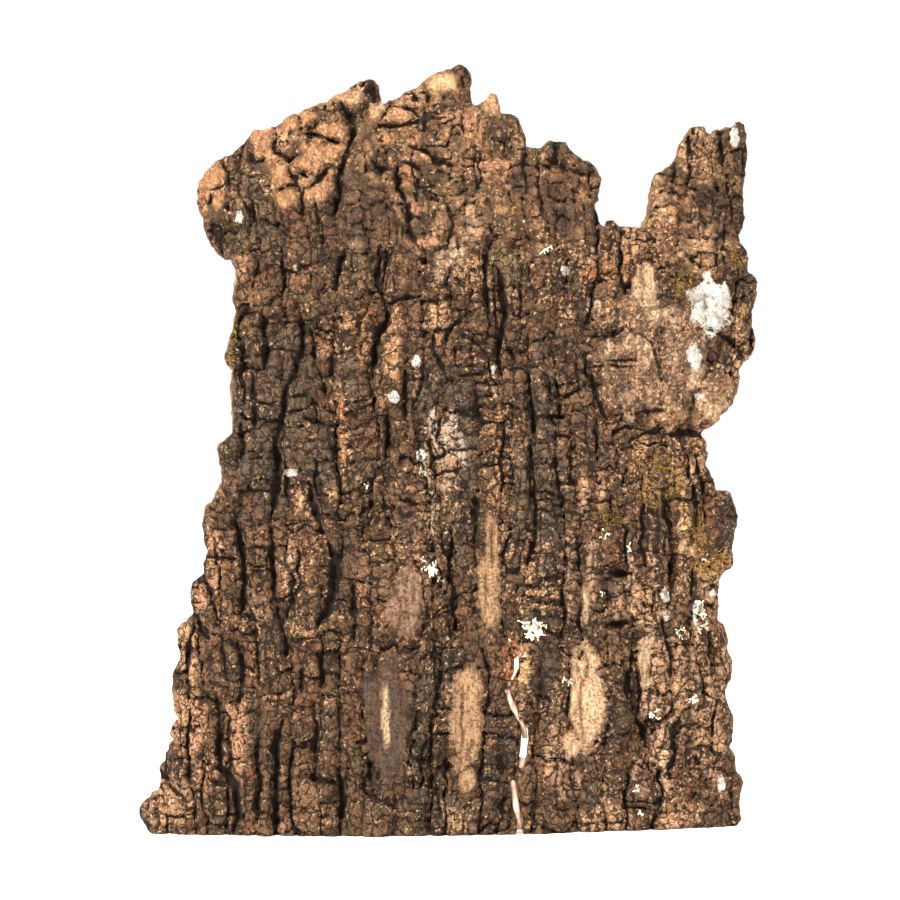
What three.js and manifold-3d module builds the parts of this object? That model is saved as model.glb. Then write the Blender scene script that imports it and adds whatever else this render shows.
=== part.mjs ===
// A slab of thick, furrowed bark from an old tree, standing on its sawn foot, with a few tufts of lichen and moss
// growing on it.
// Millimetres, +Z up along the grain. The weathered outer face looks towards -Y and the smooth inner face, which once
// lay on the wood, towards +Y. The origin is the middle of the foot of the bounding box.
import * as THREE from "three";
import { mergeVertices } from "three/addons/utils/BufferGeometryUtils.js";
import Module from "manifold-3d";

const wasm = await Module();
wasm.setup();

// Driving dimensions
const WIDTH = 250.6; // across the grain, between the outline's furthest points
const HEIGHT = 304.2; // along the grain
const THICKNESS = 19; // from the inner face to the tops of the ridges
const TRUNK_RADIUS = 300; // of the inner face
const FURROW_DEPTH = 5; // of the main furrows below the ridges
const FURROW_SHOULDER = 3.2; // how far a furrow's sloping side reaches past its floor
const COLUMN = 3.5; // spacing of the outer face's points across the grain
const ROW = 8.7; // and along it
const INNER_COLUMN = 14; // spacing on the plain inner face
const SPARE = 12; // how far the uncut slab runs past the outline
const GAP = 0.3; // between the bark and what grows on it

// The broken outline, clockwise from the foot's left corner: [distance from the left edge, height above the foot].
const LEFT_EDGE = [
  [4, 0], [1.2, 4], [0, 8.5], [1.5, 11], [4.5, 14.3], [7.5, 15.3], [8.7, 19], [8, 24], [8.5, 27], [10.5, 28],
  [11.8, 31], [12, 34.5], [13.8, 37], [13.3, 41], [14, 43.5], [16.2, 45.6], [14.8, 50.5], [15, 54], [14.3, 58],
  [14.6, 64], [16, 67], [17.2, 71], [17, 80], [17.6, 83], [19.3, 83.7], [23, 88], [22.8, 94], [23.2, 99.5],
  [25.5, 102.5], [28, 104], [28, 110.7], [29.3, 112], [28, 118], [27.3, 124], [27.8, 128.5], [29, 131], [31.5, 132.6],
  [32.8, 137], [35.5, 142], [35.6, 146], [34.5, 150], [34.8, 155], [37.5, 158.5], [39.3, 160], [38.8, 168],
  [39.6, 173], [39.8, 186], [37.2, 191], [39.5, 195], [42, 206], [42.3, 210], [40.7, 217], [41.8, 222], [41, 230],
  [38.3, 230.2], [36, 231.8], [33, 235.5], [30, 241], [29.3, 246], [27.5, 251], [27.3, 257], [28, 260.5],
];
const TOP_EDGE = [
  [33, 265.7], [36, 268.7], [39, 270], [42, 270.3], [46.8, 274.5], [48.5, 277.5], [51, 279.7], [59, 281.3],
  [66, 284.4], [69, 284.8], [71, 286.7], [80, 290.8], [84, 292.8], [88, 293.8], [90.5, 296.5], [96, 299.2],
  [98.5, 299.2], [100, 297], [101, 290.5], [102, 289], [108, 291.7], [111, 293.8], [118, 297], [122, 299.5],
  [126, 301], [133, HEIGHT], [135.5, 303.4], [137.3, 299.5], [136.7, 295], [137.5, 288], [140, 287.7], [144, 291],
  [146, 292.2], [147.2, 290], [148.5, 284.4], [153, 284.5], [155.5, 282], [158.2, 275], [157.8, 271], [160, 270.5],
  [164, 270.7], [168, 274.6], [172, 274.4], [174.5, 272.7], [176, 270], [181, 266.3], [185, 264.7], [187.8, 258.5],
  [187, 250.5], [185.5, 248.8], [187.5, 240.5], [188.6, 239.5], [190.5, 240], [192, 242.7], [193.5, 240.5],
  [198.5, 238.7], [204.5, 239.7], [206.3, 242.5], [208.3, 251], [208.7, 256], [210, 259.5], [213, 261], [219, 268],
  [220.5, 272.5], [223, 275.5], [225, 279.3], [230.3, 280.3], [231.5, 277], [233.5, 277], [235, 279.5], [242, 280],
  [244.5, 282.3], [246.5, 280.5],
];
const RIGHT_EDGE = [
  [247.5, 270], [246, 257], [245, 248], [245.2, 244], [244.3, 239], [242.8, 236], [243.5, 233.5], [246, 230.8],
  [247.5, 227], [247.3, 222], [249.5, 220.5], [WIDTH, 215], [249.7, 209], [248.3, 206], [248.7, 202], [249.7, 194],
  [249.5, 190], [247.5, 187], [245.3, 185], [243.8, 183], [242, 177], [240, 169], [235, 163], [231, 160],
  [227, 157.5], [228.5, 154], [229.5, 149], [228.8, 144], [231, 138], [232.8, 133.5], [237, 133.8], [239, 132],
  [239.3, 128.5], [241, 127], [241.7, 123.5], [240.2, 113], [238.8, 103.8], [236.5, 102.8], [234, 101], [233, 97],
  [233.2, 82], [235.5, 80], [237, 76], [237, 70], [238.5, 66], [238.5, 60.5], [237, 57], [236, 53], [237.5, 42],
  [237.5, 34], [237, 30], [239.5, 26.5], [239, 22], [241.5, 17], [240, 7], [241, 2.5], [239.5, 0],
];

// The main furrows, each along its floor: [width of the floor, [distance from the left edge, height], ...].
const FURROWS = [
  [3.5, [56.5, -2], [55.3, 15], [56, 30], [59, 47]],
  [3.5, [33, 26], [32.3, 38], [33, 53]],
  [2.2, [43, 85], [44.5, 98], [43.5, 112], [41.5, 128]],
  [2.6, [60.5, 70], [58, 85], [56, 100], [54.5, 122]],
  [5, [72.5, 82], [78.5, 95], [80.5, 113]],
  [3.2, [76, 122], [71.5, 133], [69.5, 146]],
  [3, [56.5, 130], [58, 150], [58.5, 160]],
  [3, [52.5, 186], [53.5, 198], [51.5, 208]],
  [3, [62.5, 177], [67, 192], [68, 205]],
  [2.4, [117, 20], [118.5, 50], [124, 80], [126, 106]],
  [2.4, [86.5, 78], [88.5, 96]],
  [3, [102, 160], [98.5, 178], [97, 194], [102, 206], [99, 224]],
  [3, [148.5, 205], [147, 224]],
  [2.4, [160.5, 166], [158.5, 130]],
  [5, [84, 245], [83.5, 268], [90, 284]],
  [3, [106.5, 251], [107.5, 266]],
  [3, [184.5, 150], [182, 165], [178, 192]],
  [3.5, [225, 238], [227.5, 254]],
  [2.6, [205, 20], [199, 44], [196, 62], [197, 79]],
  [2.4, [213, 96], [214, 110], [213, 132]],
  [3, [69.5, 250], [63, 266], [60, 282]],
  [3, [167, 258], [171, 275]],
];

// Where the slab swells out: [distance from the left edge, height, half width, half height, how far it stands out].
const SWELLINGS = [
  [208, 180, 34, 30, 5], // the burl
  [108, 92, 12, 18, 1.5], // a healed knot
  [62, 266, 34, 18, 3], // thick plates at the top left
  [22, 40, 16, 26, 2],
];

// Where the slab has split right through: [width, distance from the left edge, height], upwards. A narrow bridge of
// bark is left between the two.
const LOWER_SPLIT = [[2, 151.5, -2], [2.3, 152, 5], [1.8, 150.6, 10], [1.8, 149.9, 15], [2.2, 149.4, 21]];
const UPPER_SPLIT = [
  [1, 152, 23.5], [2.9, 153.6, 30], [2.8, 154.4, 36], [2, 154.4, 41], [1.3, 152.4, 46], [1.7, 149.3, 51],
  [1.8, 147.9, 56], [1.6, 148.6, 60], [1.8, 151.4, 64], [1.8, 151.8, 68], [1, 150.3, 73], [0.6, 148.3, 79],
];

// What grows on the outer face: [distance from the left edge, height, half width, half height, how far it stands out].
const GROWTHS = {
  lichen_rosette: [157, 81, 5.8, 5.6, 4],
  lichen_tuft_middle: [118.5, 105.5, 3.4, 4, 2.6],
  lichen_tuft_right: [225.5, 87, 4, 6, 2.8],
  moss_under_burl: [212, 142, 7.5, 6.5, 3],
  moss_tuft_right: [229, 104, 7, 3.2, 3],
};

// Materials: weathered bark, pale lichen and dry moss.
const BARK = new THREE.MeshStandardMaterial({ color: 0x5b4735, roughness: 0.95, metalness: 0 });
const LICHEN = new THREE.MeshStandardMaterial({ color: 0xd8cfa6, roughness: 0.9, metalness: 0 });
const MOSS = new THREE.MeshStandardMaterial({ color: 0x8a7434, roughness: 0.95, metalness: 0 });

// The inner face follows the trunk it came off, so its middle is nearest to the viewer.
function innerFace(across) {
  return (across - WIDTH / 2) ** 2 / (2 * TRUNK_RADIUS);
}

// The distance from a point to a line of several stretches.
function distanceToLine(across, up, line) {
  let nearest = Infinity;
  for (let i = 1; i < line.length; i++) {
    const [[ax, az], [bx, bz]] = [line[i - 1], line[i]];
    const length2 = (bx - ax) ** 2 + (bz - az) ** 2;
    const share = THREE.MathUtils.clamp(((across - ax) * (bx - ax) + (up - az) * (bz - az)) / length2, 0, 1);
    nearest = Math.min(nearest, Math.hypot(across - ax - share * (bx - ax), up - az - share * (bz - az)));
  }
  return nearest;
}

// The outer face: the ridges' tops with their swellings, less the nearest furrow and a slow rise and fall across the
// whole slab.
function outerFace(across, up) {
  let sunk = 0;
  for (const [width, ...line] of FURROWS) {
    const past = distanceToLine(across, up, line) - width / 2;
    sunk = Math.max(sunk, FURROW_DEPTH * (1 - THREE.MathUtils.smoothstep(past, 0, FURROW_SHOULDER)));
  }
  let swell = Math.sin(across / 13) * 0.9 + Math.sin(across / 31 + up / 40) * 0.8 - 1.7;
  for (const [middle, height, halfWidth, halfHeight, out] of SWELLINGS) {
    const off = Math.hypot((across - middle) / halfWidth, (up - height) / halfHeight);
    swell += out * (1 - THREE.MathUtils.smoothstep(off, 0, 1));
  }
  return innerFace(across) - THICKNESS - swell + sunk;
}

// A closed three.js geometry as a solid that can be cut and joined.
function solidOf(geometry) {
  const bare = geometry.index ? geometry.toNonIndexed() : geometry.clone();
  bare.deleteAttribute("normal");
  bare.deleteAttribute("uv");
  const merged = mergeVertices(bare, 1e-3);
  return new wasm.Manifold(
    new wasm.Mesh({
      numProp: 3,
      vertProperties: merged.attributes.position.array,
      triVerts: new Uint32Array(merged.index.array),
    }),
  );
}

function meshOf(solid, name, material) {
  const { vertProperties, triVerts } = solid.getMesh();
  const geometry = new THREE.BufferGeometry()
    .setAttribute("position", new THREE.BufferAttribute(vertProperties, 3))
    .setIndex(new THREE.BufferAttribute(triVerts, 1));
  const mesh = new THREE.Mesh(geometry, material);
  mesh.name = name;
  return mesh;
}

// The uncut slab: its plan, from above, is pushed up through the height in rows, and each point of the outer side is
// then set back or forward to the outer face.
function uncutSlab() {
  const plan = [];
  for (let across = -SPARE; across <= WIDTH + SPARE; across += COLUMN) {
    plan.push([across, -THICKNESS]);
  }
  for (let across = WIDTH + SPARE; across >= -SPARE; across -= INNER_COLUMN) {
    plan.push([across, innerFace(across)]);
  }
  const shape = new THREE.Shape(plan.map(([x, y]) => new THREE.Vector2(x, y)));
  const tall = HEIGHT + SPARE;
  const slab = new THREE.ExtrudeGeometry(shape, { depth: tall, steps: Math.round(tall / ROW), bevelEnabled: false });
  const points = slab.attributes.position;
  for (let i = 0; i < points.count; i++) {
    if (points.getY(i) < -THICKNESS / 2) {
      points.setY(i, outerFace(points.getX(i), points.getZ(i)));
    }
  }
  return solidOf(slab);
}

// A flat outline, [across, up] points, pushed through the slab from front to back.
function pushedThrough(outline) {
  const reach = 4 * THICKNESS;
  const shape = new THREE.Shape(outline.map(([across, up]) => new THREE.Vector2(across, up)));
  const block = new THREE.ExtrudeGeometry(shape, { depth: 2 * reach, bevelEnabled: false });
  return solidOf(block.rotateX(Math.PI / 2).translate(0, reach, 0));
}

// A split's two sides, up the left one and down the right.
function splitOutline(split) {
  const left = split.map(([width, across, up]) => [across - width / 2, up]);
  const right = split.map(([width, across, up]) => [across + width / 2, up]);
  return [...left, ...right.reverse()];
}

// A low cushion on the outer face, cut to fit it with a small gap.
function growth([across, up, halfWidth, halfHeight, out], bark) {
  const ball = new THREE.SphereGeometry(1, 14, 9).scale(halfWidth, out, halfHeight);
  const whole = solidOf(ball.translate(across, outerFace(across, up), up));
  const pieces = whole.subtract(bark.translate([0, -GAP, 0])).decompose();
  return pieces.reduce((largest, piece) => (piece.volume() > largest.volume() ? piece : largest));
}

const bark = uncutSlab()
  .intersect(pushedThrough([...LEFT_EDGE, ...TOP_EDGE, ...RIGHT_EDGE]))
  .subtract(pushedThrough(splitOutline(LOWER_SPLIT)))
  .subtract(pushedThrough(splitOutline(UPPER_SPLIT)));

const group = new THREE.Group();
group.add(meshOf(bark, "bark", BARK));
for (const [name, size] of Object.entries(GROWTHS)) {
  group.add(meshOf(growth(size, bark), name, name.startsWith("moss") ? MOSS : LICHEN));
}

// The origin goes to the middle of the bounding box's foot.
const box = new THREE.Box3().setFromObject(group);
group.position.set(-(box.min.x + box.max.x) / 2, -(box.min.y + box.max.y) / 2, -box.min.z);

export default group;
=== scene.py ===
import math

import bmesh
import bpy
import numpy as np
from mathutils import Matrix, Vector
from mathutils.bvhtree import BVHTree


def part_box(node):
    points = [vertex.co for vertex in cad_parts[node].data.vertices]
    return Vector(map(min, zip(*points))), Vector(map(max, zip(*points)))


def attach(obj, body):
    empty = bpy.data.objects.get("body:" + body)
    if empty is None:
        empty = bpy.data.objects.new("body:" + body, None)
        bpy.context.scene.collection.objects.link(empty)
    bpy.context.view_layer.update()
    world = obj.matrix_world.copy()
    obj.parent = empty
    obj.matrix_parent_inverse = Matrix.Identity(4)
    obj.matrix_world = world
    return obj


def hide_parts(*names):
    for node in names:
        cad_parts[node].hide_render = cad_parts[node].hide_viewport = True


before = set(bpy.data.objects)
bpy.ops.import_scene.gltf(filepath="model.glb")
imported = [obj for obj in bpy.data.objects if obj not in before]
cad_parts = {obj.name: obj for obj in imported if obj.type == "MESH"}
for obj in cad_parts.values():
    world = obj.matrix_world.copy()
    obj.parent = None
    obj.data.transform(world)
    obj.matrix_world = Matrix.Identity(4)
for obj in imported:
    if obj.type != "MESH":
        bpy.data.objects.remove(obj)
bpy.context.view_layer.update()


# Bark. One slab that grew on an old trunk: corky grey-brown plates over softer orange-tan layers, split by
# furrows along the grain and by shorter cracks across it. It is shaped from the slab's own solid, which
# is remeshed finely and then worn, cracked and chipped.
BARK_LOW, BARK_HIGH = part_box("bark")
MM = 0.001
VOXEL = 0.75 * MM
BARK_FACES = 190000
THICKNESS = 20.0  # mm, from the inner face to the tops of the ridges

# The main furrows along the grain, in mm: [width, depth, (distance from the left edge, height), ...].
FURROWS = [
    # Lower left
    [3.6, 5, (32.5, 54), (33, 27), (38.5, 20), (40, 8), (37.5, -2)],
    [3.6, 6, (59, 46), (56, 36), (56, 27), (54.8, 14), (55.5, -4)],
    [2.4, 4, (41.5, 77), (43, 65), (42, 57), (41, 50)],
    [2.6, 4, (60, 80), (60.5, 70)],
    [2.4, 4, (71, 75), (74.5, 68), (75.5, 60)],
    [1.8, 3, (70.5, 54), (71.5, 42), (71, 30)],
    [1.6, 3, (66, 67), (66, 57)],
    [3.0, 4, (81, 26), (82, 15), (80.5, 4)],
    [2.0, 3, (68, 25), (73, 22), (80, 20)],
    [1.6, 3, (8, 26), (12, 20), (18, 15)],
    # Left, middle height
    [4.0, 5, (56.5, 158), (58, 147), (57.5, 140), (57, 133), (55.5, 126)],
    [2.7, 5, (41, 128), (42, 118), (43.5, 110), (43.8, 100), (43.5, 92), (42, 84)],
    [2.4, 5, (55, 124), (55, 110), (55.5, 100), (57, 92), (58.5, 86), (60.5, 76)],
    [1.3, 3, (66, 113), (66, 104), (66.5, 98), (62, 92), (61, 86)],
    [3.4, 5, (69.5, 142), (71.5, 133), (73, 128), (76.5, 121)],
    [4.8, 5, (77, 116), (81, 110), (80, 102), (79, 96), (77, 90), (73, 82)],
    [2.0, 4, (26, 106), (29.5, 98), (31, 92), (33, 85)],
    [2.0, 4, (23.5, 90), (26, 83), (29, 78)],
    # Left, upper part
    [3.2, 5, (52.5, 208), (54, 200), (54.5, 193), (53.5, 184)],
    [3.2, 5, (67.5, 208), (69, 200), (69, 194), (67, 188), (65.5, 181)],
    [1.7, 3, (48.5, 183), (49.5, 172), (49, 163)],
    [1.8, 3, (64.5, 182), (62, 176), (61, 170), (60, 163)],
    [1.8, 3, (59, 163), (57, 153)],
    [2.2, 4, (74, 186), (77, 180), (78, 174)],
    [1.8, 3, (80, 192), (81, 182)],
    # Centre, upper part
    [2.8, 5, (100, 232), (99.5, 222), (99, 217), (101, 212), (102.5, 208), (102, 202), (99, 198),
     (97, 193), (96.5, 186), (96, 178)],
    [1.4, 3, (109, 184), (109.5, 166)],
    [1.8, 4, (101, 169), (102, 160), (101, 150)],
    [1.6, 3, (120, 198), (121, 191), (124, 186), (125.5, 180)],
    [1.6, 3, (125, 190), (126, 199), (130, 202), (136, 207)],
    [1.8, 4, (141.5, 231), (141, 220)],
    [3.0, 5, (146, 226), (147.5, 218), (148, 212), (149, 205), (148, 200), (146, 194), (145, 188),
     (147, 181)],
    [1.6, 3, (150.5, 193), (153, 184)],
    [1.7, 4, (158, 196), (158, 180), (159, 172), (160, 165), (160, 155), (158, 156), (158.3, 147),
     (158, 140), (157.5, 133), (158, 126), (161.5, 120)],
    # Centre, lower part
    [2.9, 5, (126, 122), (126.5, 113), (125.5, 106), (126, 98), (127, 90), (127, 79)],
    [1.9, 4, (126, 80), (125, 78), (122, 72), (121, 62), (119, 52), (117.5, 42), (117, 30), (118, 22),
     (120, 10)],
    [1.9, 4, (88, 102), (87, 92), (88, 85), (88, 76)],
    [1.6, 3, (116.5, 93), (117, 84), (114.5, 79)],
    # Right
    [1.9, 4, (196.5, 80), (197, 70), (196, 60), (197, 50), (199, 44), (202, 36), (203, 28), (205, 19)],
    [1.9, 4, (213, 135), (213.5, 118), (214, 108), (213, 95)],
    [1.4, 3, (183, 180), (186, 170), (188.5, 163)],
    [1.6, 3, (235, 197), (240, 193), (243, 190), (246, 185)],
    [1.6, 3, (223, 227), (228, 223)],
    # Top
    [2.6, 5, (85.5, 290), (88, 285), (91.5, 280)],
    [1.6, 3, (91, 280), (89, 274), (86.5, 268)],
    [2.6, 5, (88, 269), (85.5, 265), (83.6, 259), (84, 252), (82, 245)],
    [1.5, 3, (97, 281.5), (104, 279.5), (112, 281), (119, 283)],
    [1.4, 3, (100, 281), (103, 285), (105, 288), (111, 287), (116, 283.5)],
    [2.4, 5, (107.5, 265), (107.5, 256), (110, 251), (112, 245), (110.5, 238)],
    [1.6, 3, (112, 272), (119, 269), (123, 266), (129, 264)],
    [1.7, 4, (58.4, 283), (59.4, 278), (59, 274), (59.8, 271), (62, 270), (65, 267.6), (67, 269.4),
     (71, 270.6)],
    [1.0, 2, (59.4, 266.6), (61.6, 268.6)],
    [1.8, 3, (67.6, 286), (69.6, 280)],
    [0.9, 2, (70, 281.2), (75, 280.8), (74.8, 285)],
    [1.5, 3, (70, 278), (74, 277.6), (79, 276), (86, 273.6)],
    [1.9, 4, (64, 264), (66, 260.4), (68, 257.6), (69.8, 254), (69.8, 245)],
    [1.2, 3, (59.6, 255.4), (63, 257.4), (68, 258)],
    [1.3, 3, (67.6, 262.2), (72, 261), (78, 260.6)],
    [1.6, 3, (70, 256), (74, 257.2), (77.4, 260.2), (79, 264), (84, 266.4)],
    [1.1, 2, (30.4, 257.6), (34, 257), (38.4, 258.8)],
    [1.3, 3, (33.4, 257), (32.6, 250)],
    [1.4, 3, (37.4, 269), (39.8, 264), (41.4, 258)],
    [1.6, 3, (49, 271), (51, 267), (55, 269)],
    [1.4, 3, (50, 252), (50.4, 240)],
    [1.6, 3, (118.6, 287), (118.8, 277)],
    [1.3, 3, (119, 283.4), (123, 282.6), (128, 283.4)],
    [1.2, 2, (97, 267), (99.6, 263.6), (105, 263)],
    [1.2, 2, (109.6, 266.4), (113, 265), (116, 262)],
    [1.2, 2, (114, 256), (118, 255), (122, 256)],
    [1.6, 3, (121, 252), (123, 249.4)],
    [1.4, 3, (113, 251), (110.8, 244), (112, 237), (117, 230.6)],
    [1.2, 2, (127, 248), (129.4, 241), (126.6, 233), (121, 230)],
    [1.0, 2, (143, 242), (145, 236), (143.6, 230)],
    [3.6, 5, (171, 278), (170.5, 270), (171, 263)],
    [2.0, 3, (167, 266), (174, 262), (181, 260)],
    [3.2, 4, (237, 264), (237, 274), (237, 282)],
    [1.5, 3, (224, 260), (224, 276)],
]

# Deep single cracks across the grain, in the same form.
CROSS_CRACKS = [
    [0.9, 2, (34, 122), (43, 121.5)],
    [0.9, 2, (44, 114), (54, 114.8)],
    [0.9, 2, (29, 110.8), (41, 110)],
    [0.8, 2, (45, 105.3), (56, 105.6)],
    [1.0, 2, (47, 149.6), (57, 150.4)],
    [0.9, 2, (46, 137.4), (57, 136.6)],
    [0.9, 2, (60, 123.5), (71, 124.5)],
    [0.9, 2, (39, 185), (54, 185.6)],
    [0.9, 2, (60.5, 203.8), (69, 203)],
    [0.9, 2, (42, 208.3), (51, 207.6)],
    [0.9, 2, (49.5, 171.4), (58, 170.5)],
    [0.9, 2, (62, 174.2), (72, 173.4)],
    [1.0, 2, (67, 166.5), (73, 164), (77, 163)],
    [0.9, 2, (61, 162), (69, 162.5)],
    [1.6, 3, (101.5, 210), (105, 210), (108, 212), (115, 213)],
    [1.2, 2, (88, 211.5), (99, 214.8)],
    [1.2, 2, (130, 181), (142, 182.4)],
    [1.2, 2, (134, 196.5), (139, 193), (142.5, 188.5)],
    [1.2, 2, (160, 165), (169, 165.3)],
    [2.0, 3, (117, 26.5), (125, 26.8)],
    [1.0, 2, (119.5, 50), (126, 50.3)],
    [1.0, 2, (118.5, 40), (125, 40.4)],
    [1.4, 2, (199, 165.3), (212, 167.2)],
    [1.2, 2, (190, 157.6), (196, 160.5), (203, 160)],
    [1.2, 2, (199, 154.6), (206, 158), (212, 160)],
    [1.4, 2, (212.5, 156), (218, 158), (227, 157.3)],
    [1.0, 2, (180, 183.8), (201, 184.3)],
    [0.9, 2, (189, 186.3), (201, 186.8)],
    [1.2, 2, (180, 196.8), (190, 195.6), (194.5, 197.6), (197, 200.5)],
    [1.3, 1.5, (201, 197.6), (205, 195.4), (208.4, 189.5), (210.2, 183), (211, 177)],
    [0.8, 1.2, (211, 199), (209.6, 194), (210.8, 188), (212, 182)],
    [0.9, 1.2, (212, 190), (214, 193), (217.5, 195), (220, 199)],
    [0.8, 1, (214, 186), (215.6, 181), (213.6, 175), (212, 170)],
    [0.8, 1, (218.4, 184), (217, 178), (218, 172)],
    [0.7, 1, (199, 181.4), (203.6, 179), (205, 175.4), (202.6, 172.6), (199.6, 174)],
    [0.7, 1, (205.5, 178), (208.6, 176.6), (208.4, 173), (205.6, 171)],
    [0.7, 1, (190, 188.2), (196, 188.4), (201, 189)],
    [0.7, 1, (201.6, 191), (201, 187), (202, 182)],
    [0.8, 1, (189, 178), (193, 176), (197, 177)],
    [0.8, 1, (190, 171), (195, 168.6), (201, 169.4)],
    [0.8, 1.5, (190, 165), (195, 164.6), (199, 167)],
    [1.0, 1.5, (184, 180), (184.8, 176), (186.6, 171)],
    [0.8, 1, (222, 178), (225.6, 180), (226.4, 176.6)],
    [0.8, 1, (226, 190), (229.6, 184), (230.4, 176), (229, 168)],
    [0.8, 1, (220, 166), (225, 165), (229, 162)],
    [1.0, 1.5, (226, 198.4), (231, 199), (236, 196), (240, 191), (242.6, 186)],
    [0.8, 1, (206, 207), (210, 203), (213.6, 201)],
    [0.8, 1, (197, 207), (198.6, 203), (202, 200.6)],
    [0.7, 1, (183, 193), (187.4, 191), (188.4, 186)],
    [2.2, 3, (189, 102.5), (197, 101.5)],
    [1.8, 3, (187, 81.5), (196, 82.6)],
]

# Where the outer plates have come away: (colour, [(distance from the left edge, height, half width, half
# height), ...]). All the patches below are given by the same four lengths.
WORN = [
    ("#e0b488", [(179, 52, 6.6, 18), (172.5, 35, 3, 6)]),
    ("#cfa880", [(205.4, 216, 4.8, 9)]),
    ("#b58c65", [(131.5, 44, 6, 17), (134, 60, 3.6, 6), (140.5, 95, 4.4, 13), (142.5, 115, 2.2, 12),
                 (132, 22, 3, 5)]),
    ("#5e4838", [(100, 46, 8, 22), (94, 58, 4, 8)]),
    ("#967458", [(107.5, 92, 7.6, 13)]),
    ("#c9a781", [(179, 91, 1.6, 8), (99.5, 48, 1.6, 13), (202.6, 66, 2, 10)]),
]
# Thin dark lines that run down the worn spots: [width, (distance from the left edge, height), ...].
GRAIN_LINES = [
    [1.5, (96.6, 70), (96.9, 55), (96.5, 42), (95.4, 28)],
    [0.8, (99.2, 62), (98.4, 50)],
    [0.9, (104, 66), (106, 58), (107, 48)],
    [1.0, (130.2, 60), (129.5, 48), (129.6, 38), (129, 29)],
    [0.8, (134, 38), (131.6, 32), (130, 28)],
    [1.0, (175.3, 66), (177, 60), (176.4, 50), (176.8, 42), (177.8, 35)],
    [0.7, (179.6, 69), (179, 61)],
    [0.8, (140, 102), (139.4, 87)],
    [0.7, (143, 126), (142, 108)],
    [1.0, (203.8, 240), (203.7, 225), (204, 209)],
    [0.9, (104, 80), (106, 90), (103, 101), (104, 108)],
    [0.8, (109.4, 84), (107.4, 95), (110, 107)],
    [0.9, (101, 87), (106, 88.4), (114, 86.4)],
    [0.8, (112.4, 98), (110.4, 90)],
    [1.0, (176, 97), (178, 88)],
    [0.8, (207, 76), (205, 66), (207, 60)],
]
# Hollows where a whole plate is missing.
HOLLOWS = [
    (144, 26, 2.6, 5), (94, 19, 4.5, 7), (95, 286, 2, 4), (120, 243, 3, 3.4), (233, 245, 7, 8),
    (223, 238, 4.5, 8), (122.5, 288, 7, 4.5), (57.5, 150, 2.6, 5), (192.5, 102, 3.4, 2.4),
    (191.5, 82, 3.6, 2),
]
# Crumbly bark: lumps of a few millimetres and no plates.
CRUMBLY = [
    (122, 262, 30, 34), (93, 244, 9, 14), (65, 276, 6, 4.5), (82, 286.5, 6, 3.5), (163, 252, 20, 24),
    (150, 275, 10, 8), (228, 232, 14, 14), (222, 262, 14, 18),
]
# Big clean chunks with nothing but single cracks between them.
CHUNKS = [
    (34, 261, 6, 9), (56, 272, 7, 9), (63, 262, 6, 6), (64, 253, 6, 4.5), (66, 283, 8, 3),
    (73, 285, 5, 3), (82, 279, 6, 3), (76, 269, 10, 6), (76, 256, 7, 6), (104, 284, 10, 5),
    (126, 297, 7, 5), (145, 289, 5, 5), (35, 250, 4, 5), (88, 292, 6, 4),
]
# Nests of crumbs between the chunks.
NESTS = [(62.6, 278, 4.4, 4.4), (79, 288, 6, 3.4)]
# Smooth callus over an old wound.
BURL = [(207, 182, 22, 18), (233, 171, 9, 10), (222, 196, 12, 12), (200, 205, 13, 7), (216, 203, 5, 6)]
rng = np.random.default_rng(7)
LATTICE = rng.uniform(-1, 1, (64, 64, 64)).astype(np.float32)
SCATTER = rng.random((64, 64, 8)).astype(np.float32)


def smooth(value, low, high):
    """0 below low, 1 above high, and an easy rise between."""
    share = np.clip((value - low) / (high - low), 0, 1)
    return share * share * (3 - 2 * share)


def rough(points, sizes, layer=0):
    """Soft random bumps from -1 to 1 over points in mm, with a bump size for each axis."""
    at = points / np.asarray(sizes, np.float32) + 11.3 * layer
    cell = np.floor(at).astype(np.int32)
    part = at - cell
    part = part * part * part * (part * (6 * part - 15) + 10)
    total = np.zeros(len(points), np.float32)
    for corner in range(8):
        step = np.array([corner & 1, corner >> 1 & 1, corner >> 2 & 1])
        weight = np.prod(np.where(step, part, 1 - part), axis=1)
        spot = (cell + step) % 64
        total += weight * LATTICE[spot[:, 0], spot[:, 1], spot[:, 2]]
    return total


def broken(points, sizes, octaves, layer=0):
    """Several layers of rough, each half the size and about half the height of the last."""
    total = np.zeros(len(points), np.float32)
    for octave in range(octaves):
        total += 0.55**octave * rough(points, np.asarray(sizes) / 2**octave, layer + 3 * octave)
    return total


FAR = 9.0  # mm, past the reach of any crack


def groove(across, up, line, width):
    """Distance in mm outside the lip of one crack, which narrows towards both its ends."""
    outside = np.full(len(across), FAR, np.float32)
    corners = np.array(line, np.float32)
    reach = 6.0  # mm
    near = (across > corners[:, 0].min() - reach) & (across < corners[:, 0].max() + reach)
    near &= (up > corners[:, 1].min() - reach) & (up < corners[:, 1].max() + reach)
    if not near.any():
        return outside
    a, b = across[near], up[near]
    runs = np.hypot(*np.diff(corners, axis=0).T)
    length = runs.sum()
    nearest = np.full(len(a), FAR, np.float32)
    start = 0.0
    for (ax, az), (bx, bz), run in zip(corners[:-1], corners[1:], runs):
        share = np.clip(((a - ax) * (bx - ax) + (b - az) * (bz - az)) / run**2, 0, 1)
        away = np.hypot(a - ax - share * (bx - ax), b - az - share * (bz - az))
        along = (start + share * run) / length
        half = width / 2 * np.clip(4 * np.minimum(along, 1 - along) + 0.25, 0, 1)
        nearest = np.minimum(nearest, away - half)
        start += run
    outside[near] = nearest
    return outside


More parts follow.
